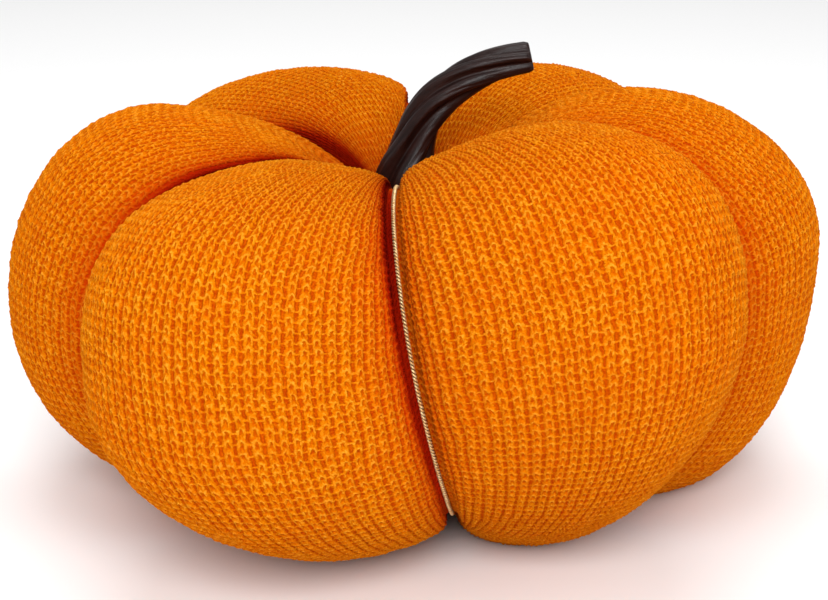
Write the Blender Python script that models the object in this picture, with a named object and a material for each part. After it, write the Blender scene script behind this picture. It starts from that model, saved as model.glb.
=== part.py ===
"""Stuffed knit pumpkin: six sewn lobes drawn in by cords, with a short twisted stem on top.

The filled knit body is one closed solid. A table gives each lobe the size of its
middle line (reach, crown, waist, foot) and a second table gives each crease its own
line. Between two creases the skin bulges in a round section through the lobe's
middle line. Sizes are in millimetres and degrees until the last step; the finished
parts are in metres. Azimuth 0 is the front (-Y), 90 is the right (+X).
"""
import math

import bmesh
import bpy
import numpy as np

MM = 0.001

# ------------------------------------------------------------------ sizes (mm, degrees)
TOP_FLOOR_Z = 84.0        # floor of the dimple that the stem stands in
TOP_FLOOR_R = 14.0        # radius of that floor
BOTTOM_FLOOR_Z = 25.0     # floor of the dimple underneath
BOTTOM_FLOOR_R = 10.0
TOP_SHIFT_X = -2.0        # the gathered top sits a little left of the middle
MIDDLE_X, MIDDLE_Y = -1.90, -1.43   # middle of the whole object's box, which becomes the origin
SINK = 2.2                # how far the soft lobes settle on what they stand on
SINK_BLEND = 1.2          # height over which the flat patch rounds off
ROWS = 40                 # steps down a lobe, from dimple to dimple
WALL_GAP = 2.4            # least distance of a lobe's side from the crease's plane
WALL_SOFT = 1.8           # how softly that distance is kept
PRESS = 4.5               # how far neighbouring lobes bulge towards each other
PRESS_NEAR = 3.0          # distance from the crease's plane over which that sets in
PRESS_FAR = 15.0          # and over which it fades
SEAM_HALF = 1.5           # half the width of a crease's flat bottom
SEAM_LIFT = 0.2           # how far that bottom rises to its edges

# columns across a lobe, as shares of the way (-1 and +1 are its creases); SEAM marks the
# crease itself and the edges of its flat bottom
SEAM = (-1.0, -0.97, 0.97)
ACROSS = (-1.0, -0.97, -0.84, -0.68, -0.49, -0.29, -0.10, 0.10, 0.29, 0.49, 0.68, 0.84, 0.97)

# lobe: name, turn, reach, crown height, crown radius, waist height, foot radius,
#       fullness above the waist, fullness below it (2 is an ellipse)
LOBES = (
    ("front_right", 4.0, 122.0, 131.5, 74.0, 82.0, 46.0, 2.45, 1.62),
    ("right", 5.0, 125.0, 128.0, 65.0, 81.0, 73.0, 1.85, 2.15),
    ("back_right", -3.5, 129.0, 124.0, 67.0, 67.0, 60.0, 2.40, 2.10),
    ("back_left", 8.0, 135.0, 120.5, 56.0, 71.0, 60.0, 2.75, 2.10),
    ("left", -2.0, 127.5, 123.0, 80.0, 65.0, 50.0, 2.00, 2.15),
    ("front_left", 0.0, 131.0, 119.5, 69.0, 62.0, 26.0, 2.90, 1.87),
)
# crease: azimuth near the top, at the waist and near the bottom, all from its even
#         sixth of the round; reach at the waist; height where it tips into the dimple
CREASES = (
    ("front", -10.0, -0.5, 13.5, 87.0, 108.0),
    ("right_front", 6.5, 3.0, -0.5, 83.5, 112.0),
    ("right_back", -2.5, 1.5, 3.0, 85.0, 110.0),
    ("back", 2.5, 1.0, 0.0, 85.5, 115.0),
    ("left_back", -6.5, -2.5, -0.5, 86.0, 99.0),
    ("left_front", -4.5, -2.0, 1.0, 92.0, 106.0),
)
CREASE_CROWN_R = 40.0
CREASE_WAIST_Z = 62.0
CREASE_FOOT_R = 46.0
CREASE_FOOT_Z = 16.0
CREASE_UPPER = 2.1
CREASE_LOWER = 1.9
TURN_AT = (0.12, 0.50, 0.88)   # where the three azimuths of a crease hold, as shares of its length

CORD_R = 0.6              # gold cord in the creases
CORD_LIFT = 1.2           # its middle above the bottom of the crease
CORD_TOP_R = 11.6         # where it goes under the stem
CORD_END_R = 2.2          # where the six meet underneath

# stem stations: x, z, radius, and the turn of its ribs (degrees)
STEM_Y = -1.0
STEM = (
    (-3.8, 84.8, 8.6, 0.0),
    (-4.2, 92.8, 9.2, 22.0),
    (-4.9, 100.8, 9.6, 44.0),
    (-4.3, 107.0, 8.5, 60.0),
    (-2.3, 114.0, 6.7, 80.0),
    (0.6, 121.0, 6.0, 100.0),
    (5.0, 127.3, 5.9, 120.0),
    (11.2, 132.4, 5.6, 140.0),
    (18.3, 136.1, 5.3, 158.0),
    (26.0, 138.7, 4.9, 174.0),
    (32.6, 140.2, 4.6, 186.0),
)
STEM_RIBS = 5
STEM_RIB_DEPTH = 0.13     # share of the radius
STEM_STEPS = 3            # steps between two stations
STEM_SIDES = 30
STEM_RIM = 0.8            # rounding of the cut end

COLOUR = {
    "knit_orange": ((0.87, 0.215, 0.012, 1.0), 0.85, 0.0),
    "stem_dark": ((0.026, 0.014, 0.013, 1.0), 0.30, 0.0),
    "cord_gold": ((0.66, 0.43, 0.14, 1.0), 0.38, 0.85),
}


# ------------------------------------------------------------------ the body's form
def quarter(cx, cy, ax, ay, angle, power):
    """Quarter of a superellipse: from (cx + ax, cy) at angle 0 to (cx, cy + ay) at 90."""
    c = np.clip(np.cos(angle), 0.0, 1.0) ** (2.0 / power)
    s = np.clip(np.sin(angle), 0.0, 1.0) ** (2.0 / power)
    return cx + ax * c, cy + ay * s


def meridian(crown_r, crown_z, reach, waist_z, foot_r, foot_z, upper, lower):
    """Radius and height down one line, ROWS even steps from the top floor to the bottom one."""
    a = np.linspace(0.0, math.pi / 2, 25)
    parts = (
        quarter(crown_r, TOP_FLOOR_Z, TOP_FLOOR_R - crown_r, crown_z - TOP_FLOOR_Z, a, 2.0),
        quarter(crown_r, waist_z, reach - crown_r, crown_z - waist_z, a[::-1], upper),
        quarter(foot_r, waist_z, reach - foot_r, foot_z - waist_z, a, lower),
        quarter(foot_r, BOTTOM_FLOOR_Z, BOTTOM_FLOOR_R - foot_r, foot_z - BOTTOM_FLOOR_Z, a[::-1], 2.0),
    )
    r = np.concatenate([parts[0][0]] + [p[0][1:] for p in parts[1:]])
    z = np.concatenate([parts[0][1]] + [p[1][1:] for p in parts[1:]])
    run = np.concatenate([[0.0], np.cumsum(np.hypot(np.diff(r), np.diff(z)))])
    at = np.linspace(0.0, run[-1], ROWS + 1)
    return np.interp(at, run, r), np.interp(at, run, z)


def crease_line(k):
    """Radius, height and azimuth down crease k."""
    name, top, mid, bottom, reach, crown = CREASES[k]
    r, z = meridian(CREASE_CROWN_R, crown, reach, CREASE_WAIST_Z,
                    CREASE_FOOT_R, CREASE_FOOT_Z, CREASE_UPPER, CREASE_LOWER)
    bend = np.polyfit(TURN_AT, (top, mid, bottom), 2)
    return r, z, np.radians(60.0 * k + np.polyval(bend, np.linspace(0.0, 1.0, ROWS + 1)))


def spot(r, a, z):
    return np.stack([r * np.sin(a), -r * np.cos(a), z], -1)


def ease(x, low, high):
    t = np.clip((x - low) / (high - low), 0.0, 1.0)
    return t * t * (3.0 - 2.0 * t)


def settle(p):
    """Move the gathered top to its place and flatten what the body stands on."""
    rho = np.hypot(p[..., 0], p[..., 1])
    q = p.copy()
    q[..., 0] += TOP_SHIFT_X * (1.0 - ease(rho, 12.0, 85.0)) * ease(p[..., 2], 40.0, 85.0)
    z = p[..., 2] - SINK
    soft = (np.clip(z + SINK_BLEND / 2, 0.0, SINK_BLEND)) ** 2 / (2.0 * SINK_BLEND)
    q[..., 2] = np.where(z > SINK_BLEND / 2, z, soft)
    return q - np.array([MIDDLE_X, MIDDLE_Y, 0.0])


def normal(r, z):
    """Outward direction along a line given by radius and height."""
    dr, dz = np.gradient(r), np.gradient(z)
    size = np.hypot(dr, dz)
    return -dz / size, dr / size


def keep_clear(distance):
    """Distance from a crease's plane, drawn in where the lobes press, with a soft least value."""
    near = np.clip(distance - SEAM_HALF, 0.0, None)
    press = PRESS * (1.0 - np.exp(-near / PRESS_NEAR)) * np.exp(-(near / PRESS_FAR) ** 2)
    d = distance - press - WALL_GAP
    return WALL_GAP + 0.5 * (d + np.sqrt(d * d + WALL_SOFT * WALL_SOFT))


def lobe_grid(i):
    """Points of lobe i: ROWS + 1 rows by the columns of ACROSS (the first is crease i)."""
    name, turn, reach, crown, crown_r, waist, foot_r, upper, lower = LOBES[i]
    r1, z1, a1 = crease_line(i)
    r2, z2, a2 = crease_line((i + 1) % 6)
    if i == 5:
        a2 = a2 + 2.0 * math.pi
    rm, zm = meridian(crown_r, crown, reach, waist, foot_r, 0.0, upper, lower)
    p1, p2 = spot(r1, a1, z1), spot(r2, a2, z2)
    top = spot(rm, 0.5 * (a1 + a2) + math.radians(turn), zm)
    mid = 0.5 * (p1 + p2)
    chord = p2 - p1
    half = np.linalg.norm(chord, axis=1) / 2.0
    along = chord / (2.0 * half[:, None])
    rise = top - mid
    slide = (rise * along).sum(1)
    rise = rise - slide[:, None] * along
    high = np.linalg.norm(rise, axis=1)
    out = rise / high[:, None]
    sweep = 2.0 * np.arctan2(high, half)
    bow = (half * half + high * high) / (2.0 * high)
    w = np.array(ACROSS)[None]
    angle = w * sweep[:, None]
    x = bow[:, None] * np.sin(angle)
    y = bow[:, None] * (np.cos(angle) - np.cos(sweep)[:, None])
    x = x + slide[:, None] * np.clip(y / high[:, None], 0.0, 1.0)
    p = mid[:, None] + x[..., None] * along[:, None] + y[..., None] * out[:, None]
    # keep the sides clear of both crease planes
    rho = np.hypot(p[..., 0], p[..., 1])
    middle = 0.5 * (a1 + a2)[:, None]
    az = middle + (np.arctan2(p[..., 0], -p[..., 1]) - middle + math.pi) % (2.0 * math.pi) - math.pi
    low = a1[:, None] + np.arcsin(np.clip(keep_clear(rho * np.sin(np.clip(az - a1[:, None], -1.5, 1.5))) / rho, 0.0, 1.0))
    far = a2[:, None] - np.arcsin(np.clip(keep_clear(rho * np.sin(np.clip(a2[:, None] - az, -1.5, 1.5))) / rho, 0.0, 1.0))
    share = ease(w, -0.45, 0.45)
    p = spot(rho, low * (1.0 - share) + far * share, p[..., 2])
    # the crease and the edges of its bottom run side by side
    p[:, ACROSS.index(SEAM[0])] = p1
    for r, a, z, side, mark in ((r1, a1, z1, 1.0, SEAM[1]), (r2, a2, z2, -1.0, SEAM[2])):
        nr, nz = normal(r, z)
        edge = spot(r + nr * SEAM_LIFT, a, z + nz * SEAM_LIFT)
        edge[:, 0] += side * SEAM_HALF * np.cos(a)
        edge[:, 1] += side * SEAM_HALF * np.sin(a)
        p[:, ACROSS.index(mark)] = edge
    return settle(p)


def body_grid():
    """All points of the body by ring and column, without the two middle points."""
    return np.concatenate([lobe_grid(i) for i in range(6)], axis=1)


def cord_points(k):
    """Middle line of the cord in crease k, lifted off the bottom of the crease."""
    r, z, a = crease_line(k)
    nr, nz = normal(r, z)
    r2, z2 = r + nr * CORD_LIFT, z + nz * CORD_LIFT
    keep = slice(1, ROWS)
    r2, z2, a2 = r2[keep], z2[keep], a[keep]
    top_z, low_z = TOP_FLOOR_Z + CORD_LIFT, BOTTOM_FLOOR_Z - CORD_LIFT
    r2 = np.concatenate([[CORD_TOP_R, TOP_FLOOR_R - 1.6], r2, [BOTTOM_FLOOR_R - 2.2, 0.5 * (BOTTOM_FLOOR_R + CORD_END_R) - 1.0, CORD_END_R]])
    z2 = np.concatenate([[top_z, top_z + 1.5], z2, [low_z - 1.0, low_z, low_z]])
    a2 = np.concatenate([[a[0], a[0]], a2, [a[-1], a[-1], a[-1]]])
    return settle(spot(r2, a2, z2))


# ------------------------------------------------------------------ making the parts
def fresh():
    for ob in list(bpy.data.objects):
        bpy.data.objects.remove(ob, do_unlink=True)
    group = bpy.data.collections.new("knit_pumpkin")
    bpy.context.scene.collection.children.link(group)
    return group


def finish(name):
    colour, rough, metal = COLOUR[name]
    m = bpy.data.materials.new(name)
    m.use_nodes = True
    shader = m.node_tree.nodes["Principled BSDF"]
    shader.inputs["Base Color"].default_value = colour
    shader.inputs["Roughness"].default_value = rough
    shader.inputs["Metallic"].default_value = metal
    return m


def make_body(group, material):
    grid = body_grid()
    rings, columns = grid.shape[0] + 1, grid.shape[1]
    top = settle(np.array([[0.0, 0.0, TOP_FLOOR_Z]]))[0]
    low = settle(np.array([[0.0, 0.0, BOTTOM_FLOOR_Z]]))[0]
    bm = bmesh.new()
    bmesh.ops.create_uvsphere(bm, u_segments=columns, v_segments=rings, radius=1.0)
    for v in bm.verts:
        ring = round(math.acos(max(-1.0, min(1.0, v.co.z))) / math.pi * rings)
        column = math.floor(math.atan2(v.co.y, v.co.x) / (2.0 * math.pi) * columns + 0.25) % columns
        p = top if ring == 0 else low if ring == rings else grid[ring - 1, column]
        v.co = (p[0] * MM, p[1] * MM, p[2] * MM)
    me = bpy.data.meshes.new("knit_body")
    bm.to_mesh(me)
    bm.free()
    me.materials.append(material)
    for f in me.polygons:
        f.use_smooth = True
    ob = bpy.data.objects.new("knit_body", me)
    group.objects.link(ob)
    return ob


def tube(group, name, points, radius, material):
    cu = bpy.data.curves.new(name, "CURVE")
    cu.dimensions = "3D"
    cu.bevel_depth = radius * MM
    cu.bevel_resolution = 2
    cu.use_fill_caps = True
    sp = cu.splines.new("POLY")
    sp.points.add(len(points) - 1)
    for q, p in zip(sp.points, points):
        q.co = (p[0] * MM, p[1] * MM, p[2] * MM, 1.0)
    cu.materials.append(material)
    ob = bpy.data.objects.new(name, cu)
    group.objects.link(ob)
    return ob


def stem_stations():
    """The stem's stations refined with a smooth curve through them (Catmull-Rom)."""
    s = np.array(STEM, float)
    e = np.concatenate([[2 * s[0] - s[1]], s, [2 * s[-1] - s[-2]]])
    out = []
    for i in range(len(s) - 1):
        p0, p1, p2, p3 = e[i], e[i + 1], e[i + 2], e[i + 3]
        for j in range(STEM_STEPS):
            t = j / STEM_STEPS
            out.append(0.5 * (2 * p1 + (p2 - p0) * t + (2 * p0 - 5 * p1 + 4 * p2 - p3) * t * t
                              + (3 * p1 - p0 - 3 * p2 + p3) * t ** 3))
    end, before = s[-1], out[-1]
    step = (end - before)[:2] / np.linalg.norm((end - before)[:2])
    rim = end.copy()
    rim[:2] = end[:2] - step * STEM_RIM
    if np.linalg.norm((rim - before)[:2]) > STEM_RIM:
        out.append(rim)
    soft = end.copy()
    soft[:2] = end[:2] - step * STEM_RIM * 0.3
    soft[2] = end[2] - STEM_RIM * 0.3
    out.append(soft)
    last = end.copy()
    last[2] = end[2] - STEM_RIM
    out.append(last)
    return np.array(out)


def make_stem(group, material):
    rib = bpy.data.curves.new("stem_section", "CURVE")
    rib.dimensions = "2D"
    sp = rib.splines.new("POLY")
    sp.points.add(STEM_SIDES - 1)
    for n, q in enumerate(sp.points):
        t = -2.0 * math.pi * n / STEM_SIDES
        r = MM * (1.0 - STEM_RIB_DEPTH * (0.5 - 0.5 * math.cos(STEM_RIBS * t)))
        q.co = (r * math.cos(t), r * math.sin(t), 0.0, 1.0)
    sp.use_cyclic_u = True
    guide = bpy.data.objects.new("stem_section", rib)
    guide.hide_render = True
    guide.display_type = "WIRE"
    group.objects.link(guide)

    cu = bpy.data.curves.new("stem", "CURVE")
    cu.dimensions = "3D"
    cu.twist_mode = "MINIMUM"
    cu.bevel_mode = "OBJECT"
    cu.bevel_object = guide
    cu.use_fill_caps = True
    sp = cu.splines.new("POLY")
    rows = stem_stations()
    sp.points.add(len(rows) - 1)
    for q, (x, z, r, turn) in zip(sp.points, rows):
        q.co = ((x - MIDDLE_X) * MM, (STEM_Y - MIDDLE_Y) * MM, (z - SINK) * MM, 1.0)
        q.radius = r
        q.tilt = math.radians(turn)
    cu.materials.append(material)
    ob = bpy.data.objects.new("stem", cu)
    group.objects.link(ob)
    return ob


def main():
    group = fresh()
    knit, dark, gold = finish("knit_orange"), finish("stem_dark"), finish("cord_gold")
    make_body(group, knit)
    make_stem(group, dark)
    for k in range(6):
        tube(group, "cord_%d" % (k + 1), cord_points(k), CORD_R, gold)


main()
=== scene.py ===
import math

import bpy
import numpy as np
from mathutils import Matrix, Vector
from mathutils.bvhtree import BVHTree


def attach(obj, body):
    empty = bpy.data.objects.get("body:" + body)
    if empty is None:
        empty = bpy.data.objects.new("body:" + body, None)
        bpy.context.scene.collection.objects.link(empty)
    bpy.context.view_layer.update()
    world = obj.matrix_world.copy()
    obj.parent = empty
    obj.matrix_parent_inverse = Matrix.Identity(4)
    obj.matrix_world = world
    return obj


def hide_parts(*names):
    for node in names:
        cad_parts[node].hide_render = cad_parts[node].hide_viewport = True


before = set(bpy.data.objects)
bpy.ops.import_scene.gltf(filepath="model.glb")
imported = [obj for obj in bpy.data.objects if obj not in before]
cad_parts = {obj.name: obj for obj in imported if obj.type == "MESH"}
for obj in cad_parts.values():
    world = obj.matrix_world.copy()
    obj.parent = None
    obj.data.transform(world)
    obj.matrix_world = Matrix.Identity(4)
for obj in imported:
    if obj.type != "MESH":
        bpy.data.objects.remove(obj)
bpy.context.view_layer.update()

MM = 0.001

# ------------------------------------------------------------------ form of the stuffed body (mm, degrees)
TOP_FLOOR_Z, TOP_FLOOR_R = 84.0, 14.0
BOTTOM_FLOOR_Z, BOTTOM_FLOOR_R = 25.0, 10.0
TOP_SHIFT_X = -2.0
MIDDLE_X, MIDDLE_Y = -1.90, -1.43
SINK, SINK_BLEND = 2.2, 1.2
WALL_GAP, WALL_SOFT = 1.9, 1.6
PRESS, PRESS_NEAR, PRESS_FAR = 4.5, 3.0, 15.0
SEAM_CLEAR = 0.12          # the lobes' edges stop this far from the crease's plane

# name, turn, reach, crown height, crown radius, waist height, foot radius, fullness above and below
LOBES = (
    ("front_right", 4.0, 122.0, 131.5, 74.0, 82.0, 46.0, 2.45, 1.62),
    ("right", 5.0, 125.0, 128.0, 65.0, 81.0, 73.0, 1.85, 2.15),
    ("back_right", -3.5, 129.0, 124.0, 67.0, 67.0, 60.0, 2.40, 2.10),
    ("back_left", 8.0, 135.0, 120.5, 56.0, 71.0, 60.0, 2.75, 2.10),
    ("left", -2.0, 127.5, 123.0, 80.0, 65.0, 50.0, 2.00, 2.15),
    ("front_left", 0.0, 131.0, 119.5, 69.0, 62.0, 26.0, 2.90, 1.87),
)
# how light the yarn of each lobe is coloured: painted light and shade, lighter on some lobes and darker on others
LOBE_LIGHT = (0.50, 0.46, 0.56, 0.54, 0.44, 0.58)
# how strongly the light dies away beside the crease on either side of each lobe
SHUT = ((0.45, 1.0), (2.6, 1.0), (1.0, 1.0), (1.0, 1.2), (1.2, 2.2), (1.0, 1.25))
# how far each lobe stands off its neighbours towards the outside, on either side (mm)
PARTED = ((0.0, 0.0), (3.4, 0.0), (0.0, 0.0), (0.0, 0.0), (0.0, 3.0), (0.0, 0.0))
# name, azimuth near top, waist and bottom, reach, crown height
CREASES = (
    ("front", -10.0, -0.5, 13.5, 87.0, 108.0),
    ("right_front", 6.5, 3.0, -0.5, 83.5, 112.0),
    ("right_back", -2.5, 1.5, 3.0, 85.0, 110.0),
    ("back", 2.5, 1.0, 0.0, 85.5, 115.0),
    ("left_back", -6.5, -2.5, -0.5, 86.0, 99.0),
    ("left_front", -4.5, -2.0, 1.0, 92.0, 106.0),
)
CREASE_CROWN_R, CREASE_WAIST_Z, CREASE_FOOT_R, CREASE_FOOT_Z = 40.0, 62.0, 46.0, 16.0
CREASE_UPPER, CREASE_LOWER = 2.1, 1.9
TURN_AT = (0.12, 0.50, 0.88)

CORD_R, CORD_LIFT = 0.6, 1.2
CORD_TOP_R, CORD_END_R = 11.6, 2.2

STEM_Y = -1.0
STEM = (
    (-3.8, 84.8, 8.6, 0.0),
    (-4.2, 92.8, 9.2, 22.0),
    (-4.9, 100.8, 9.6, 44.0),
    (-4.3, 107.0, 8.5, 60.0),
    (-2.3, 114.0, 6.7, 80.0),
    (0.6, 121.0, 6.0, 100.0),
    (5.0, 127.3, 5.9, 120.0),
    (11.2, 132.4, 5.6, 140.0),
    (18.3, 136.1, 5.3, 158.0),
    (26.0, 138.7, 4.9, 174.0),
    (32.6, 140.2, 4.6, 186.0),
)

# ------------------------------------------------------------------ the knit
WALES = 46                 # ribs across a lobe
COURSES = 106              # rows of loops down a lobe
WALE_MM, COURSE_MM = 3.3, 2.95
ARCH_W, ARCH_TALL = 0.63, 0.85   # half width of a loop's head, and how tall the arch is
LEG_SPREAD = 0.13                # the legs open towards the next loop
BOW_W, BOW_AT = 0.92, 0.30       # half width of the arcs between the ribs, and their place below the heads
YARN_R, BOW_R = 0.39, 0.56       # mm, of the loops and of the arcs, which lie doubled
YARN_HIGH = 0.80                 # how far the yarn stands over the gaps (mm)
RIB_HIGH = 0.45                  # how far the ribs stand over the valleys (mm)
INSET = 0.45                     # the middle of the relief lies on the body's skin


def quarter(cx, cy, ax, ay, angle, power):
    c = np.clip(np.cos(angle), 0.0, 1.0) ** (2.0 / power)
    s = np.clip(np.sin(angle), 0.0, 1.0) ** (2.0 / power)
    return cx + ax * c, cy + ay * s


def meridian(share, crown_r, crown_z, reach, waist_z, foot_r, foot_z, upper, lower):
    """Radius and height at shares 0 to 1 of the way from the top floor to the bottom one."""
    a = np.linspace(0.0, math.pi / 2, 121)
    parts = (
        quarter(crown_r, TOP_FLOOR_Z, TOP_FLOOR_R - crown_r, crown_z - TOP_FLOOR_Z, a, 2.0),
        quarter(crown_r, waist_z, reach - crown_r, crown_z - waist_z, a[::-1], upper),
        quarter(foot_r, waist_z, reach - foot_r, foot_z - waist_z, a, lower),
        quarter(foot_r, BOTTOM_FLOOR_Z, BOTTOM_FLOOR_R - foot_r, foot_z - BOTTOM_FLOOR_Z, a[::-1], 2.0),
    )
    r = np.concatenate([parts[0][0]] + [p[0][1:] for p in parts[1:]])
    z = np.concatenate([parts[0][1]] + [p[1][1:] for p in parts[1:]])
    run = np.concatenate([[0.0], np.cumsum(np.hypot(np.diff(r), np.diff(z)))])
    return np.interp(share * run[-1], run, r), np.interp(share * run[-1], run, z)


def crease_line(k, share):
    name, top, mid, bottom, reach, crown = CREASES[k]
    r, z = meridian(share, CREASE_CROWN_R, crown, reach, CREASE_WAIST_Z,
                    CREASE_FOOT_R, CREASE_FOOT_Z, CREASE_UPPER, CREASE_LOWER)
    bend = np.polyfit(TURN_AT, (top, mid, bottom), 2)
    return r, z, np.radians(60.0 * k + np.polyval(bend, share))


def spot(r, a, z):
    return np.stack([r * np.sin(a), -r * np.cos(a), z + 0.0 * r], -1)


def ease(x, low, high):
    t = np.clip((x - low) / (high - low), 0.0, 1.0)
    return t * t * (3.0 - 2.0 * t)


def settle(p):
    rho = np.hypot(p[..., 0], p[..., 1])
    q = p.copy()
    q[..., 0] += TOP_SHIFT_X * (1.0 - ease(rho, 12.0, 85.0)) * ease(p[..., 2], 40.0, 85.0)
    z = p[..., 2] - SINK
    soft = (np.clip(z + SINK_BLEND / 2, 0.0, SINK_BLEND)) ** 2 / (2.0 * SINK_BLEND)
    q[..., 2] = np.where(z > SINK_BLEND / 2, z, soft)
    return q - np.array([MIDDLE_X, MIDDLE_Y, 0.0])


def keep_clear(distance, gap):
    near = np.clip(distance - 1.5, 0.0, None)
    press = PRESS * (1.0 - np.exp(-near / PRESS_NEAR)) * np.exp(-(near / PRESS_FAR) ** 2)
    d = distance - press - gap
    return gap + 0.5 * (d + np.sqrt(d * d + WALL_SOFT * WALL_SOFT))


def lobe_skin(i, share, across):
    """Smooth skin of lobe i: a grid of len(share) rows by len(across) columns, unsettled."""
    name, turn, reach, crown, crown_r, waist, foot_r, upper, lower = LOBES[i]
    r1, z1, a1 = crease_line(i, share)
    r2, z2, a2 = crease_line((i + 1) % 6, share)
    if i == 5:
        a2 = a2 + 2.0 * math.pi
    rm, zm = meridian(share, crown_r, crown, reach, waist, foot_r, 0.0, upper, lower)
    p1, p2 = spot(r1, a1, z1), spot(r2, a2, z2)
    top = spot(rm, 0.5 * (a1 + a2) + math.radians(turn), zm)
    mid = 0.5 * (p1 + p2)
    chord = p2 - p1
    half = np.linalg.norm(chord, axis=1) / 2.0
    along = chord / (2.0 * half[:, None])
    rise = top - mid
    slide = (rise * along).sum(1)
    rise = rise - slide[:, None] * along
    high = np.linalg.norm(rise, axis=1)
    out = rise / high[:, None]
    sweep = 2.0 * np.arctan2(high, half)
    bow = (half * half + high * high) / (2.0 * high)
    w = across[None]
    angle = w * sweep[:, None]
    x = bow[:, None] * np.sin(angle)
    y = bow[:, None] * (np.cos(angle) - np.cos(sweep)[:, None])
    x = x + slide[:, None] * np.clip(y / high[:, None], 0.0, 1.0)
    p = mid[:, None] + x[..., None] * along[:, None] + y[..., None] * out[:, None]
    rho = np.hypot(p[..., 0], p[..., 1])
    middle = 0.5 * (a1 + a2)[:, None]
    az = middle + (np.arctan2(p[..., 0], -p[..., 1]) - middle + math.pi) % (2.0 * math.pi) - math.pi
    # the clearance grows from almost nothing at the crease to the wall's gap
    edge = ease(1.0 - np.abs(w), 0.0, 0.05)
    wide = WALL_GAP + ease(rho, 78.0, 104.0) * np.where(w < 0.0, PARTED[i][0], PARTED[i][1])
    gap = SEAM_CLEAR + (wide - SEAM_CLEAR) * edge
    low = a1[:, None] + np.arcsin(np.clip(keep_clear(rho * np.sin(np.clip(az - a1[:, None], -1.5, 1.5)), gap) / rho, 0.0, 1.0))
    far = a2[:, None] - np.arcsin(np.clip(keep_clear(rho * np.sin(np.clip(a2[:, None] - az, -1.5, 1.5)), gap) / rho, 0.0, 1.0))
    tight1 = a1[:, None] + gap / rho
    tight2 = a2[:, None] - gap / rho
    low = tight1 + (low - tight1) * edge
    far = tight2 + (far - tight2) * edge
    side = ease(w, -0.45, 0.45)
    return spot(rho, low * (1.0 - side) + far * side, p[..., 2])


def grid_normals(p):
    du = np.gradient(p, axis=1)
    dv = np.gradient(p, axis=0)
    n = np.cross(dv, du)
    return n / np.maximum(np.linalg.norm(n, axis=2), 1e-9)[..., None]


def wrap(x, low, high):
    return (x - low) % (high - low) + low


def knit_height(u, v):
    """Relief of the knit in mm, from the stitch coordinates: upright loops, and arcs between them."""
    x = wrap(u, -0.5, 0.5) * WALE_MM
    y = wrap(v, -0.33, 0.67) * COURSE_MM
    low = np.clip(y, 0.0, None)
    d = np.abs(np.hypot(x, np.minimum(y, 0.0) * ARCH_TALL) - ARCH_W - LEG_SPREAD * low)
    loop = np.sqrt(np.clip(1.0 - (d / YARN_R) ** 2, 0.0, 1.0)) * (1.0 - 0.16 * low)
    # the next loop's crown closes the slit between the legs
    crown = np.clip(low - 0.9, 0.0, 1.0) * np.clip(1.0 - np.abs(x) / 0.8, 0.0, 1.0) * 0.9
    loop = np.maximum(loop, crown)
    x2 = wrap(u + 0.5, -0.5, 0.5) * WALE_MM
    y2 = wrap(v + BOW_AT / COURSE_MM, -0.67, 0.33) * COURSE_MM
    d2 = np.abs(np.hypot(x2, np.maximum(y2, 0.0)) - BOW_W)
    bow = np.sqrt(np.clip(1.0 - (d2 / BOW_R) ** 2, 0.0, 1.0)) * (0.86 + 0.34 * np.clip(y2, -2.0, 0.0))
    rib = 0.5 + 0.5 * np.cos(2.0 * math.pi * u)
    return YARN_HIGH * np.maximum(loop, bow) + RIB_HIGH * rib


def knit_relief(u, v, du, dv):
    """The relief averaged over a mesh cell."""
    total = 0.0
    for a in (-0.33, 0.0, 0.33):
        for b in (-0.33, 0.0, 0.33):
            total = total + knit_height(u + a * du, v + b * dv)
    return total / 9.0


def soft_noise(u, v, cell, seed):
    """Smooth random field over the stitch coordinates, about -1 to 1."""
    rng = np.random.default_rng(seed)
    n, m = int(np.ceil(u.max() / cell)) + 4, int(np.ceil(v.max() / cell)) + 4
    k = rng.uniform(-1.0, 1.0, (n, m))
    x, y = np.clip(u / cell + 1, 0, n - 2.001), np.clip(v / cell + 1, 0, m - 2.001)
    i, j = x.astype(int), y.astype(int)
    a, b = x - i, y - j
    a, b = a * a * (3 - 2 * a), b * b * (3 - 2 * b)
    return (k[i, j] * (1 - a) * (1 - b) + k[i + 1, j] * a * (1 - b)
            + k[i, j + 1] * (1 - a) * b + k[i + 1, j + 1] * a * b)


def mesh_from(name, verts, quads, uv=None, attrs=None, smooth=True):
    """Mesh from vertex and face arrays; uv is per vertex, attrs are named numbers per vertex."""
    me = bpy.data.meshes.new(name)
    me.from_pydata((verts * MM).tolist(), [], quads)
    if smooth:
        me.polygons.foreach_set("use_smooth", np.ones(len(me.polygons), bool))
    loops = np.empty(len(me.loops), np.int32)
    me.loops.foreach_get("vertex_index", loops)
    if uv is not None:
        layer = me.uv_layers.new(name="stitch")
        layer.data.foreach_set("uv", uv[loops].astype(np.float32).ravel())
    for key, val in (attrs or {}).items():
        at = me.attributes.new(key, "FLOAT", "POINT")
        at.data.foreach_set("value", val.astype(np.float32))
    me.update()
    ob = bpy.data.objects.new(name, me)
    bpy.context.scene.collection.objects.link(ob)
    return ob


OPEN_ROWS, OPEN_COLS, OPEN_RAYS, OPEN_FAR = 72, 41, 28, 70.0


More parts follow.
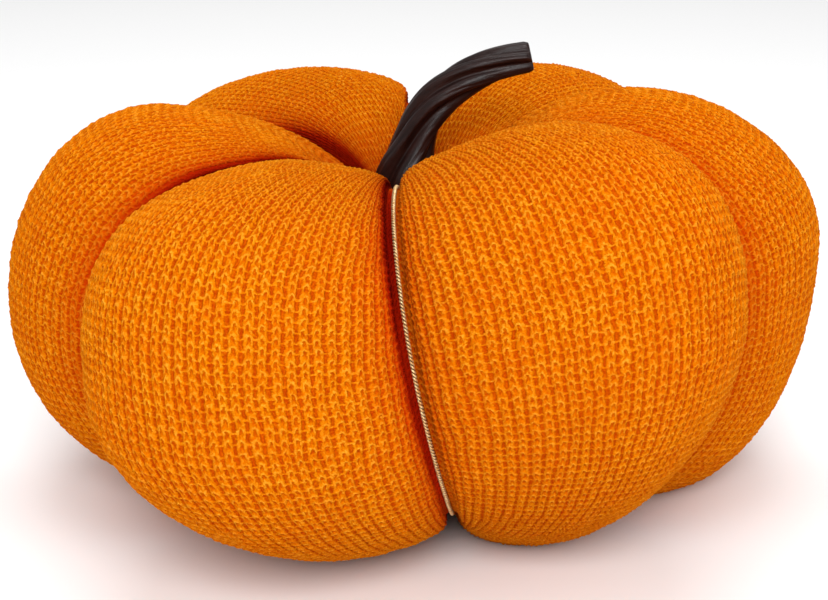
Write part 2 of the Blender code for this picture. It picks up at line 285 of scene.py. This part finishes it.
def openness():
    """How open each lobe's skin is to the air around it, 0 to 1, on a coarse grid per lobe."""
    share, across = np.linspace(0.0, 1.0, OPEN_ROWS), np.linspace(-1.0, 1.0, OPEN_COLS)
    skins = [settle(lobe_skin(i, share, across)) for i in range(6)]
    idx = np.arange(OPEN_ROWS * OPEN_COLS).reshape(OPEN_ROWS, OPEN_COLS)
    quad = np.stack([idx[:-1, :-1], idx[1:, :-1], idx[1:, 1:], idx[:-1, 1:]], -1).reshape(-1, 4)
    verts = np.concatenate([p.reshape(-1, 3) for p in skins])
    faces = np.concatenate([quad + i * idx.size for i in range(6)])
    tree = BVHTree.FromPolygons(verts.tolist(), faces.tolist())
    k = np.arange(OPEN_RAYS) + 0.5
    up = np.sqrt(1.0 - k / OPEN_RAYS)
    flat = np.sqrt(1.0 - up * up)
    turn = k * math.pi * (3.0 - math.sqrt(5.0))
    out = []
    for p in skins:
        nrm = grid_normals(p)
        side = np.gradient(p, axis=1)
        side /= np.maximum(np.linalg.norm(side, axis=2), 1e-9)[..., None]
        third = np.cross(nrm, side)
        grid = np.zeros(p.shape[:2])
        for r in range(OPEN_ROWS):
            for c in range(OPEN_COLS):
                o = Vector(p[r, c] + nrm[r, c] * 0.8)
                rays = (nrm[r, c] * up[:, None] + side[r, c] * (flat * np.cos(turn))[:, None]
                        + third[r, c] * (flat * np.sin(turn))[:, None])
                got = 0.0
                for ray in rays.tolist():
                    hit = tree.ray_cast(o, ray, OPEN_FAR)
                    got += 1.0 if hit[0] is None else min(hit[3] / OPEN_FAR, 1.0) ** 2
                grid[r, c] = got / OPEN_RAYS
        soft = grid.copy()
        soft[1:-1] = 0.25 * grid[:-2] + 0.5 * grid[1:-1] + 0.25 * grid[2:]
        grid = soft.copy()
        grid[:, 1:-1] = 0.25 * soft[:, :-2] + 0.5 * soft[:, 1:-1] + 0.25 * soft[:, 2:]
        out.append(grid)
    return out


def on_grid(grid, share, across):
    """A coarse grid's values at the rows and columns of a fine one."""
    rows = np.stack([np.interp(across, np.linspace(-1.0, 1.0, grid.shape[1]), g) for g in grid])
    at = share * (grid.shape[0] - 1)
    low = np.minimum(at.astype(int), grid.shape[0] - 2)
    part = (at - low)[:, None]
    return rows[low] * (1.0 - part) + rows[low + 1] * part


def row_shares(fine, coarse):
    """Rows down a lobe: fine steps per course where they show, coarse ones inside the dimples."""
    out, v = [], 0.0
    while v < COURSES - 1e-6:
        step = coarse if v < 11 or v >= 91 else fine
        out.append(v)
        v += 1.0 / step
        v = round(v * 60) / 60
    return np.array(out + [float(COURSES)]) / COURSES


def make_lobe(i, material, per_wale, fine, coarse):
    share = row_shares(fine, coarse)
    across = np.linspace(-1.0, 1.0, WALES * per_wale + 1)
    base = settle(lobe_skin(i, share, across))
    nrm = grid_normals(base)
    u = (across + 1.0) / 2.0 * WALES
    v = share * COURSES
    U, V = np.meshgrid(u, v)
    # uneven hand of the yarn, and the lean of the courses
    U2 = U + 0.13 * soft_noise(U, V, 3.1, 11 + i) + 0.09 * soft_noise(U, V, 1.05, 23 + i)
    V2 = V + 0.22 * soft_noise(U, V, 4.3, 37 + i) + 0.10 * soft_noise(U, V, 1.15, 51 + i)
    U2 = U2 + 0.5
    tall = 1.0 + 0.22 * soft_noise(U, V, 1.3, 71 + i)
    h = knit_relief(U2, V2, 1.0 / per_wale, 1.0 / fine) * tall - INSET
    # flatter where the cloth turns into a crease or a dimple
    inner = ease(1.0 - np.abs(across), 0.0, 0.07)[None]
    ends = (ease(share, 0.0, 0.03) * ease(1.0 - share, 0.0, 0.03))[:, None]
    h = h * (0.25 + 0.75 * inner) * (0.2 + 0.8 * ends)
    p = base + nrm * h[..., None]
    # nothing below the floor it rests on
    p[..., 2] = np.maximum(p[..., 2], 0.02)
    wide = soft_noise(U, V, 9.0, 91 + i)
    # painted shade in the creases: the skin's openness to the light, made weaker or stronger on either side of each
    # lobe by SHUT
    right = ease(across, -0.2, 0.2)[None]
    airy = 1.0 - (1.0 - on_grid(OPEN[i], share, across)) * (SHUT[i][0] * (1.0 - right) + SHUT[i][1] * right)
    rows, cols = U.shape
    core_r = 3.0
    a_mid = 0.5 * (crease_line(i, share)[2] + crease_line((i + 1) % 6, share)[2] + (2 * math.pi if i == 5 else 0.0))
    core = settle(spot(np.full(rows, core_r), a_mid, np.linspace(TOP_FLOOR_Z - 1.0, BOTTOM_FLOOR_Z + 1.0, rows)))
    verts = np.concatenate([p, core[:, None]], axis=1).reshape(-1, 3)
    n = cols + 1
    idx = np.arange(rows * n).reshape(rows, n)
    a, b = idx[:-1], idx[1:]
    quads = np.stack([a, b, np.roll(b, -1, 1), np.roll(a, -1, 1)], -1).reshape(-1, 4).tolist()
    quads.append(idx[0][:].tolist())
    quads.append(idx[-1][::-1].tolist())
    flat = lambda x: np.concatenate([x, x[:, -1:]], 1).ravel()
    uv = np.stack([flat(U2), flat(V2)], -1)
    ob = mesh_from("knit_" + LOBES[i][0], verts, quads, uv,
                   {"tone_and_lobe_light": flat(LOBE_LIGHT[i] + 0.12 * wide), "open": flat(airy)})
    ob.data.materials.append(material)
    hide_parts("knit_body")
    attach(ob, "root")
    return ob


# ------------------------------------------------------------------ cords
def cord_path(k):
    share = np.linspace(0.0, 1.0, 41)
    r, z, a = crease_line(k, share)
    dr, dz = np.gradient(r), np.gradient(z)
    size = np.hypot(dr, dz)
    r2, z2 = r - dz / size * CORD_LIFT, z + dr / size * CORD_LIFT
    keep = slice(1, 40)
    r2, z2, a2 = r2[keep], z2[keep], a[keep]
    top_z, low_z = TOP_FLOOR_Z + CORD_LIFT, BOTTOM_FLOOR_Z - CORD_LIFT
    r2 = np.concatenate([[CORD_TOP_R, TOP_FLOOR_R - 1.6], r2, [BOTTOM_FLOOR_R - 2.2, 0.5 * (BOTTOM_FLOOR_R + CORD_END_R) - 1.0, CORD_END_R]])
    z2 = np.concatenate([[top_z, top_z + 1.5], z2, [low_z - 1.0, low_z, low_z]])
    a2 = np.concatenate([[a[0], a[0]], a2, [a[-1], a[-1], a[-1]]])
    return settle(spot(r2, a2, z2))


def resample(p, n):
    d = np.concatenate([[0.0], np.cumsum(np.linalg.norm(np.diff(p, axis=0), axis=1))])
    t = np.linspace(0.0, d[-1], n)
    return np.stack([np.interp(t, d, p[:, c]) for c in range(3)], -1), d[-1]


def frames(p):
    """Two directions across a path at each of its points, carried along without twist."""
    t = np.gradient(p, axis=0)
    t /= np.linalg.norm(t, axis=1)[:, None]
    a = np.zeros_like(p)
    start = np.array([0.3, 0.9, 0.1])
    a[0] = start - start @ t[0] * t[0]
    a[0] /= np.linalg.norm(a[0])
    for i in range(1, len(p)):
        x = a[i - 1] - a[i - 1] @ t[i] * t[i]
        a[i] = x / np.linalg.norm(x)
    return t, a, np.cross(t, a)


def sweep_tube(p, radius, sides, phase=0.0):
    """Closed tube along p: vertices and faces."""
    t, a, b = frames(p)
    ang = np.arange(sides) / sides * 2 * math.pi + phase
    ring = np.cos(ang)[None, :, None] * a[:, None] + np.sin(ang)[None, :, None] * b[:, None]
    r = np.broadcast_to(np.asarray(radius), (len(p),))[:, None, None]
    v = (p[:, None] + ring * r).reshape(-1, 3)
    idx = np.arange(len(p) * sides).reshape(len(p), sides)
    q = np.stack([idx[:-1], np.roll(idx[:-1], -1, 1), np.roll(idx[1:], -1, 1), idx[1:]], -1).reshape(-1, 4).tolist()
    q.append(idx[0][::-1].tolist())
    q.append(idx[-1].tolist())
    return v, q


def make_cord(k, material):
    twist = 2.2
    path, length = resample(cord_path(k), 90)
    n = int(length / twist * (5 if k else 9))
    path, length = resample(path, n)
    t, a, b = frames(path)
    s = np.linspace(0.0, length, n)
    verts, faces, lay, start = [], [], [], 0
    sides = 6 if k == 0 else 4
    for strand in range(2):
        ph = strand * math.pi - s / twist * 2 * math.pi
        q = path + (np.cos(ph)[:, None] * a + np.sin(ph)[:, None] * b) * 0.33
        v, f = sweep_tube(q, 0.34, sides)
        verts.append(v)
        faces += [[x + start for x in g] for g in f]
        start += len(v)
        middle = np.repeat(path, sides, axis=0)
        # lay: 0 where the plies meet, 1 on their crests; the gold material paints shade where they meet
        lay.append(ease(np.linalg.norm(v - middle, axis=1), 0.30, 0.66))
    v = np.concatenate(verts)
    ob = mesh_from("gold_cord_%d" % (k + 1), v, faces, None, {"lay": np.concatenate(lay)})
    ob.data.materials.append(material)
    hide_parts("cord_%d" % (k + 1))
    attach(ob, "root")
    return ob


# ------------------------------------------------------------------ stem
def stem_rows(steps):
    s = np.array(STEM, float)
    e = np.concatenate([[2 * s[0] - s[1]], s, [2 * s[-1] - s[-2]]])
    out = []
    for i in range(len(s) - 1):
        p0, p1, p2, p3 = e[i], e[i + 1], e[i + 2], e[i + 3]
        for j in range(steps):
            t = j / steps
            out.append(0.5 * (2 * p1 + (p2 - p0) * t + (2 * p0 - 5 * p1 + 4 * p2 - p3) * t * t
                              + (3 * p1 - p0 - 3 * p2 + p3) * t ** 3))
    out.append(s[-1])
    return np.array(out)


def make_stem(material):
    rows = stem_rows(10)
    sides = 80
    path = np.stack([rows[:, 0] - MIDDLE_X, np.full(len(rows), STEM_Y - MIDDLE_Y), rows[:, 1] - SINK], -1)
    run = np.concatenate([[0.0], np.cumsum(np.linalg.norm(np.diff(path, axis=0), axis=1))])
    total = run[-1]
    # rounded rim at the cut end: a few closing rows
    t, a, b = frames(path)
    ang = np.arange(sides) / sides * 2 * math.pi
    verts = []
    def ring(c, ta, tb, radius, turn, share, soften):
        th = ang + math.radians(turn)
        k = 5.0 * ang
        groove = (0.5 - 0.5 * np.cos(k)) ** 1.6
        r = radius * (1.0 - soften * 0.30 * groove)
        r = r * (1.0 + soften * (0.022 * np.cos(11.0 * ang + 4.0 * share) + 0.012 * np.cos(23.0 * ang - 9.0 * share)))
        r = r * (1.0 + 0.03 * np.sin(2.0 * ang + 5.0 * share))
        return c + (np.cos(th) * r)[:, None] * ta + (np.sin(th) * r)[:, None] * tb
    for i in range(len(path)):
        share = run[i] / total
        left = total - run[i]
        rim = 1.0 - 0.10 * (1 - ease(np.array(left), 0.0, 1.2))
        verts.append(ring(path[i], a[i], b[i], rows[i, 2] * float(rim), rows[i, 3], share, 1.0))
    end, ta, tb, tt = path[-1], a[-1], b[-1], t[-1]
    for push, scale, soft in ((0.18, 0.80, 0.8), (0.10, 0.66, 0.6), (-0.05, 0.45, 0.4), (-0.12, 0.2, 0.2)):
        verts.append(ring(end + tt * push, ta, tb, rows[-1, 2] * scale, rows[-1, 3], 1.0, soft))
    v = np.concatenate(verts)
    n = len(verts)
    idx = np.arange(n * sides).reshape(n, sides)
    q = np.stack([idx[:-1], np.roll(idx[:-1], -1, 1), np.roll(idx[1:], -1, 1), idx[1:]], -1).reshape(-1, 4).tolist()
    q.append(idx[0][::-1].tolist())
    q.append(idx[-1].tolist())
    uvx = np.tile(ang / (2 * math.pi), n)
    uvy = np.repeat(np.concatenate([run, [total] * (n - len(run))]) / 10.0, sides)
    ob = mesh_from("twisted_stem", v, q, np.stack([uvx, uvy], -1))
    ob.data.materials.append(material)
    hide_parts("stem")
    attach(ob, "root")
    return ob


# ------------------------------------------------------------------ materials
class Nodes:
    """Short calls for building a node material."""

    def __init__(self, name):
        self.m = bpy.data.materials.new(name)
        self.m.use_nodes = True
        self.t = self.m.node_tree
        self.shader = self.t.nodes["Principled BSDF"]

    def add(self, kind, **props):
        n = self.t.nodes.new(kind)
        for k, v in props.items():
            setattr(n, k, v)
        return n

    def put(self, socket, value):
        if isinstance(value, bpy.types.NodeSocket):
            self.t.links.new(value, socket)
        elif value is not None:
            socket.default_value = value

    def math(self, op, a, b=None, c=None, clamp=False):
        n = self.add("ShaderNodeMath", operation=op, use_clamp=clamp)
        for s, x in zip(n.inputs, (a, b, c)):
            self.put(s, x)
        return n.outputs[0]

    def noise(self, vector, scale, detail=2.0, rough=0.5):
        n = self.add("ShaderNodeTexNoise")
        self.put(n.inputs["Vector"], vector)
        n.inputs["Scale"].default_value = scale
        n.inputs["Detail"].default_value = detail
        n.inputs["Roughness"].default_value = rough
        return n.outputs["Fac"]

    def mix(self, fac, a, b, blend="MIX"):
        n = self.add("ShaderNodeMix", data_type="RGBA", blend_type=blend)
        self.put(n.inputs[0], fac)
        self.put(n.inputs[6], a)
        self.put(n.inputs[7], b)
        return n.outputs[2]

    def span(self, value, low, high, out_low=0.0, out_high=1.0):
        n = self.add("ShaderNodeMapRange", clamp=True)
        self.put(n.inputs[0], value)
        n.inputs[1].default_value, n.inputs[2].default_value = low, high
        n.inputs[3].default_value, n.inputs[4].default_value = out_low, out_high
        return n.outputs[0]

    def attr(self, name):
        return self.add("ShaderNodeAttribute", attribute_name=name).outputs["Fac"]

    def bump(self, height, strength, distance, normal=None):
        n = self.add("ShaderNodeBump")
        n.inputs["Strength"].default_value = strength
        n.inputs["Distance"].default_value = distance
        self.put(n.inputs["Height"], height)
        self.put(n.inputs["Normal"], normal)
        return n.outputs[0]


def srgb(r, g, b):
    f = lambda c: c / 12.92 if c <= 0.04045 else ((c + 0.055) / 1.055) ** 2.4
    return (f(r / 255), f(g / 255), f(b / 255), 1.0)


def knit_material():
    n = Nodes("orange_knit")
    uv = n.add("ShaderNodeUVMap", uv_map="stitch").outputs[0]
    sep = n.add("ShaderNodeSeparateXYZ")
    n.put(sep.inputs[0], uv)
    u0, v0 = sep.outputs[0], sep.outputs[1]

    def moved(dx, dy):
        shifted = n.add("ShaderNodeVectorMath", operation="ADD")
        n.put(shifted.inputs[0], uv)
        shifted.inputs[1].default_value = (dx, dy, 0.0)
        return shifted.outputs[0]

    wob1 = n.noise(moved(3.0, 7.0), 2.1, 3.0, 0.65)
    wob2 = n.noise(moved(37.0, 11.0), 1.9, 3.0, 0.65)
    u = n.math("MULTIPLY_ADD", n.math("SUBTRACT", wob1, 0.5), 0.46, u0)
    v = n.math("MULTIPLY_ADD", n.math("SUBTRACT", wob2, 0.5), 0.46, v0)

    def hypot(a, b):
        return n.math("SQRT", n.math("ADD", n.math("MULTIPLY", a, a), n.math("MULTIPLY", b, b)))

    def round_over(d, radius):
        q = n.math("DIVIDE", d, radius)
        return n.math("SQRT", n.math("MAXIMUM", n.math("SUBTRACT", 1.0, n.math("MULTIPLY", q, q)), 0.0))

    x = n.math("MULTIPLY", n.math("WRAP", u, 0.5, -0.5), WALE_MM)
    y = n.math("MULTIPLY", n.math("WRAP", v, 0.67, -0.33), COURSE_MM)
    low = n.math("MAXIMUM", y, 0.0)
    far = hypot(x, n.math("MULTIPLY", n.math("MINIMUM", y, 0.0), ARCH_TALL))
    d = n.math("SUBTRACT", far, n.math("MULTIPLY_ADD", low, LEG_SPREAD, ARCH_W))
    loop = n.math("MULTIPLY", round_over(d, YARN_R), n.math("MULTIPLY_ADD", low, -0.16, 1.0))
    crown = n.math("MULTIPLY", n.span(low, 0.9, 1.9), n.span(n.math("ABSOLUTE", x), 0.0, 0.8, 0.9, 0.0))
    loop = n.math("MAXIMUM", loop, crown)
    x2 = n.math("MULTIPLY", n.math("WRAP", n.math("ADD", u, 0.5), 0.5, -0.5), WALE_MM)
    y2 = n.math("MULTIPLY", n.math("WRAP", n.math("ADD", v, BOW_AT / COURSE_MM), 0.33, -0.67), COURSE_MM)
    d2 = n.math("SUBTRACT", hypot(x2, n.math("MAXIMUM", y2, 0.0)), BOW_W)
    fall = n.math("MULTIPLY_ADD", n.math("MINIMUM", y2, 0.0), 0.34, 0.86)
    bow = n.math("MULTIPLY", round_over(d2, BOW_R), fall)
    rib = n.math("MULTIPLY_ADD", n.math("COSINE", n.math("MULTIPLY", u, 2.0 * math.pi)), 0.5, 0.5)
    yarn = n.math("MAXIMUM", loop, bow)
    # fine plies along the yarn, and loose fibre
    comb = n.add("ShaderNodeCombineXYZ")
    n.put(comb.inputs[0], n.math("MULTIPLY", u, WALE_MM))
    n.put(comb.inputs[1], n.math("MULTIPLY", v, COURSE_MM * 0.6))
    fuzz = n.noise(comb.outputs[0], 1.9, 4.0, 0.8)
    patch = n.noise(comb.outputs[0], 0.15, 2.0, 0.5)
    # colour: the yarn's orange, with painted shade in the gaps and a painted highlight on the crest of the yarn
    shade_to_highlight = n.math("ADD", yarn, n.math("MULTIPLY", rib, 0.16))
    shade_to_highlight = n.math("MULTIPLY_ADD", n.math("SUBTRACT", fuzz, 0.5), 3.4, shade_to_highlight)
    shade_to_highlight = n.math("MULTIPLY_ADD", n.math("SUBTRACT", n.noise(moved(9.0, 5.0), 0.9, 1.0, 0.5), 0.5), 0.6, shade_to_highlight)
    colour = n.mix(n.span(shade_to_highlight, -0.3, 0.45), srgb(164, 52, 0), srgb(203, 98, 0))
    colour = n.mix(n.span(shade_to_highlight, 0.35, 0.95), colour, srgb(218, 127, 0))
    colour = n.mix(n.span(shade_to_highlight, 0.85, 1.6), colour, srgb(244, 164, 46))
    # painted light and shade between the lobes: low tone turns the yarn redder and darker; the tone is set for each
    # lobe, with random patches over it
    tone_and_lobe_light = n.math("MULTIPLY_ADD", n.math("SUBTRACT", patch, 0.5), 1.2, n.attr("tone_and_lobe_light"))
    colour = n.mix(n.span(tone_and_lobe_light, 0.0, 1.0, 0.46, 0.0), colour, srgb(200, 66, 0))
    # painted shade in the creases: the yarn is painted redder where neighbouring lobes shut out the light, and dark
    # red deep in the crease
    air = n.attr("open")
    colour = n.mix(n.span(air, 0.35, 0.96, 0.95, 0.0), colour, srgb(190, 28, 0))
    colour = n.mix(n.span(air, 0.10, 0.60, 0.85, 0.0), colour, srgb(110, 4, 0))
    n.put(n.shader.inputs["Base Color"], colour)
    n.shader.inputs["Roughness"].default_value = 0.9
    n.shader.inputs["Specular IOR Level"].default_value = 0.015
    high = n.math("ADD", n.math("MULTIPLY", yarn, YARN_HIGH), n.math("MULTIPLY", fuzz, 0.45))
    n.put(n.shader.inputs["Normal"], n.bump(high, 0.8, 0.001))
    return n.m


def stem_material():
    n = Nodes("stem_gloss")
    uv = n.add("ShaderNodeUVMap", uv_map="stitch").outputs[0]
    mp = n.add("ShaderNodeMapping")
    n.put(mp.inputs[0], uv)
    mp.inputs["Scale"].default_value = (26.0, 1.1, 1.0)
    streak = n.noise(mp.outputs[0], 1.0, 5.0, 0.6)
    co = n.add("ShaderNodeTexCoord").outputs["Object"]
    pit = n.noise(co, 420.0, 3.0, 0.6)
    blot = n.noise(co, 60.0, 2.0, 0.5)
    colour = n.mix(n.span(streak, 0.35, 0.7), srgb(20, 6, 4), srgb(40, 18, 14))
    colour = n.mix(n.math("MULTIPLY", n.span(blot, 0.4, 0.75), 0.4), colour, srgb(22, 13, 13))
    n.put(n.shader.inputs["Base Color"], colour)
    n.put(n.shader.inputs["Roughness"], n.math("ADD", n.span(pit, 0.3, 0.7, 0.24, 0.36), n.math("MULTIPLY", streak, 0.10)))
    n.shader.inputs["Specular IOR Level"].default_value = 0.2
    n.shader.inputs["Coat Weight"].default_value = 0.04
    n.shader.inputs["Coat Roughness"].default_value = 0.2
    b = n.bump(streak, 0.55, 0.0006)
    n.put(n.shader.inputs["Normal"], n.bump(pit, 0.18, 0.0002, b))
    return n.m


def gold_material():
    n = Nodes("gold_thread")
    co = n.add("ShaderNodeTexCoord").outputs["Object"]
    fleck = n.noise(co, 1300.0, 2.0, 0.6)
    lay = n.attr("lay")                      # 0 where the plies meet, 1 on their crests
    colour = n.mix(n.span(fleck, 0.35, 0.65), srgb(226, 160, 80), srgb(255, 236, 180))
    # painted shade between the plies: dark brown where they meet, the thread's gold on their crests
    colour = n.mix(n.span(lay, 0.25, 0.85), srgb(92, 34, 6), colour)
    n.put(n.shader.inputs["Base Color"], colour)
    n.shader.inputs["Metallic"].default_value = 0.55
    n.put(n.shader.inputs["Roughness"], n.span(fleck, 0.3, 0.7, 0.5, 0.28))
    n.put(n.shader.inputs["Normal"], n.bump(fleck, 0.4, 0.0002))
    return n.m


# ------------------------------------------------------------------ build
OPEN = openness()
knit, dark, gold = knit_material(), stem_material(), gold_material()
DETAIL = {0: (5, 4, 3), 5: (5, 4, 3), 1: (4, 4, 3), 4: (4, 4, 3), 2: (4, 3, 2), 3: (4, 3, 2)}
for i in range(6):
    make_lobe(i, knit, *DETAIL[i])
for k in range(6):
    make_cord(k, gold)
make_stem(dark)

# ------------------------------------------------------------------ stage
fm = Nodes("pale_floor")
fm.shader.inputs["Base Color"].default_value = (0.90, 0.90, 0.90, 1.0)
fm.shader.inputs["Roughness"].default_value = 0.9
bpy.ops.mesh.primitive_plane_add(size=12.0, location=(0.0, 0.0, 0.0))
floor = bpy.context.object
floor.name = "floor"
floor.data.materials.append(fm.m)

world = bpy.data.worlds.new("studio")
bpy.context.scene.world = world
world.use_nodes = True
world.node_tree.nodes["Background"].inputs["Color"].default_value = (1.0, 1.0, 1.0, 1.0)
world.node_tree.nodes["Background"].inputs["Strength"].default_value = 0.67


def area(name, place, aim, size, power, colour=(1.0, 1.0, 1.0)):
    li = bpy.data.lights.new(name, "AREA")
    li.energy, li.size, li.color = power, size, colour
    ob = bpy.data.objects.new(name, li)
    ob.location = place
    d = np.array(aim) - np.array(place)
    ob.rotation_euler = Vector(d).to_track_quat("-Z", "Y").to_euler()
    bpy.context.scene.collection.objects.link(ob)


area("key", (0.0, -1.15, 0.85), (0, 0, 0.05), 0.7, 14.8)
area("fill", (0.9, -0.8, 0.5), (0, 0, 0.05), 0.8, 1.5)
area("top", (0.0, 0.2, 1.3), (0, 0, 0.06), 0.9, 7.6)

# camera at the picture's angle: distance and turn found from the outline
DIST, ELEV, PX_MM = 0.620, 18.0, 3.224
cam = bpy.data.cameras.new("view")
cam.sensor_width = 36.0
cam.lens = PX_MM * DIST * 1000.0 / 828.0 * 36.0
cam.shift_x = -(421.2 - 414.0) / 828.0
cam.shift_y = (305.05 - 300.0) / 828.0
cam.clip_end = 50.0
co = bpy.data.objects.new("view", cam)
e = math.radians(ELEV)
aim = np.array([-MIDDLE_X, -MIDDLE_Y, 62.0 - SINK]) * MM
place = aim + np.array([0.0, -math.cos(e), math.sin(e)]) * DIST
co.location = place
co.rotation_euler = (math.pi / 2 - e, 0.0, 0.0)
bpy.context.scene.collection.objects.link(co)
bpy.context.scene.camera = co
bpy.context.scene.view_settings.view_transform = "Standard"
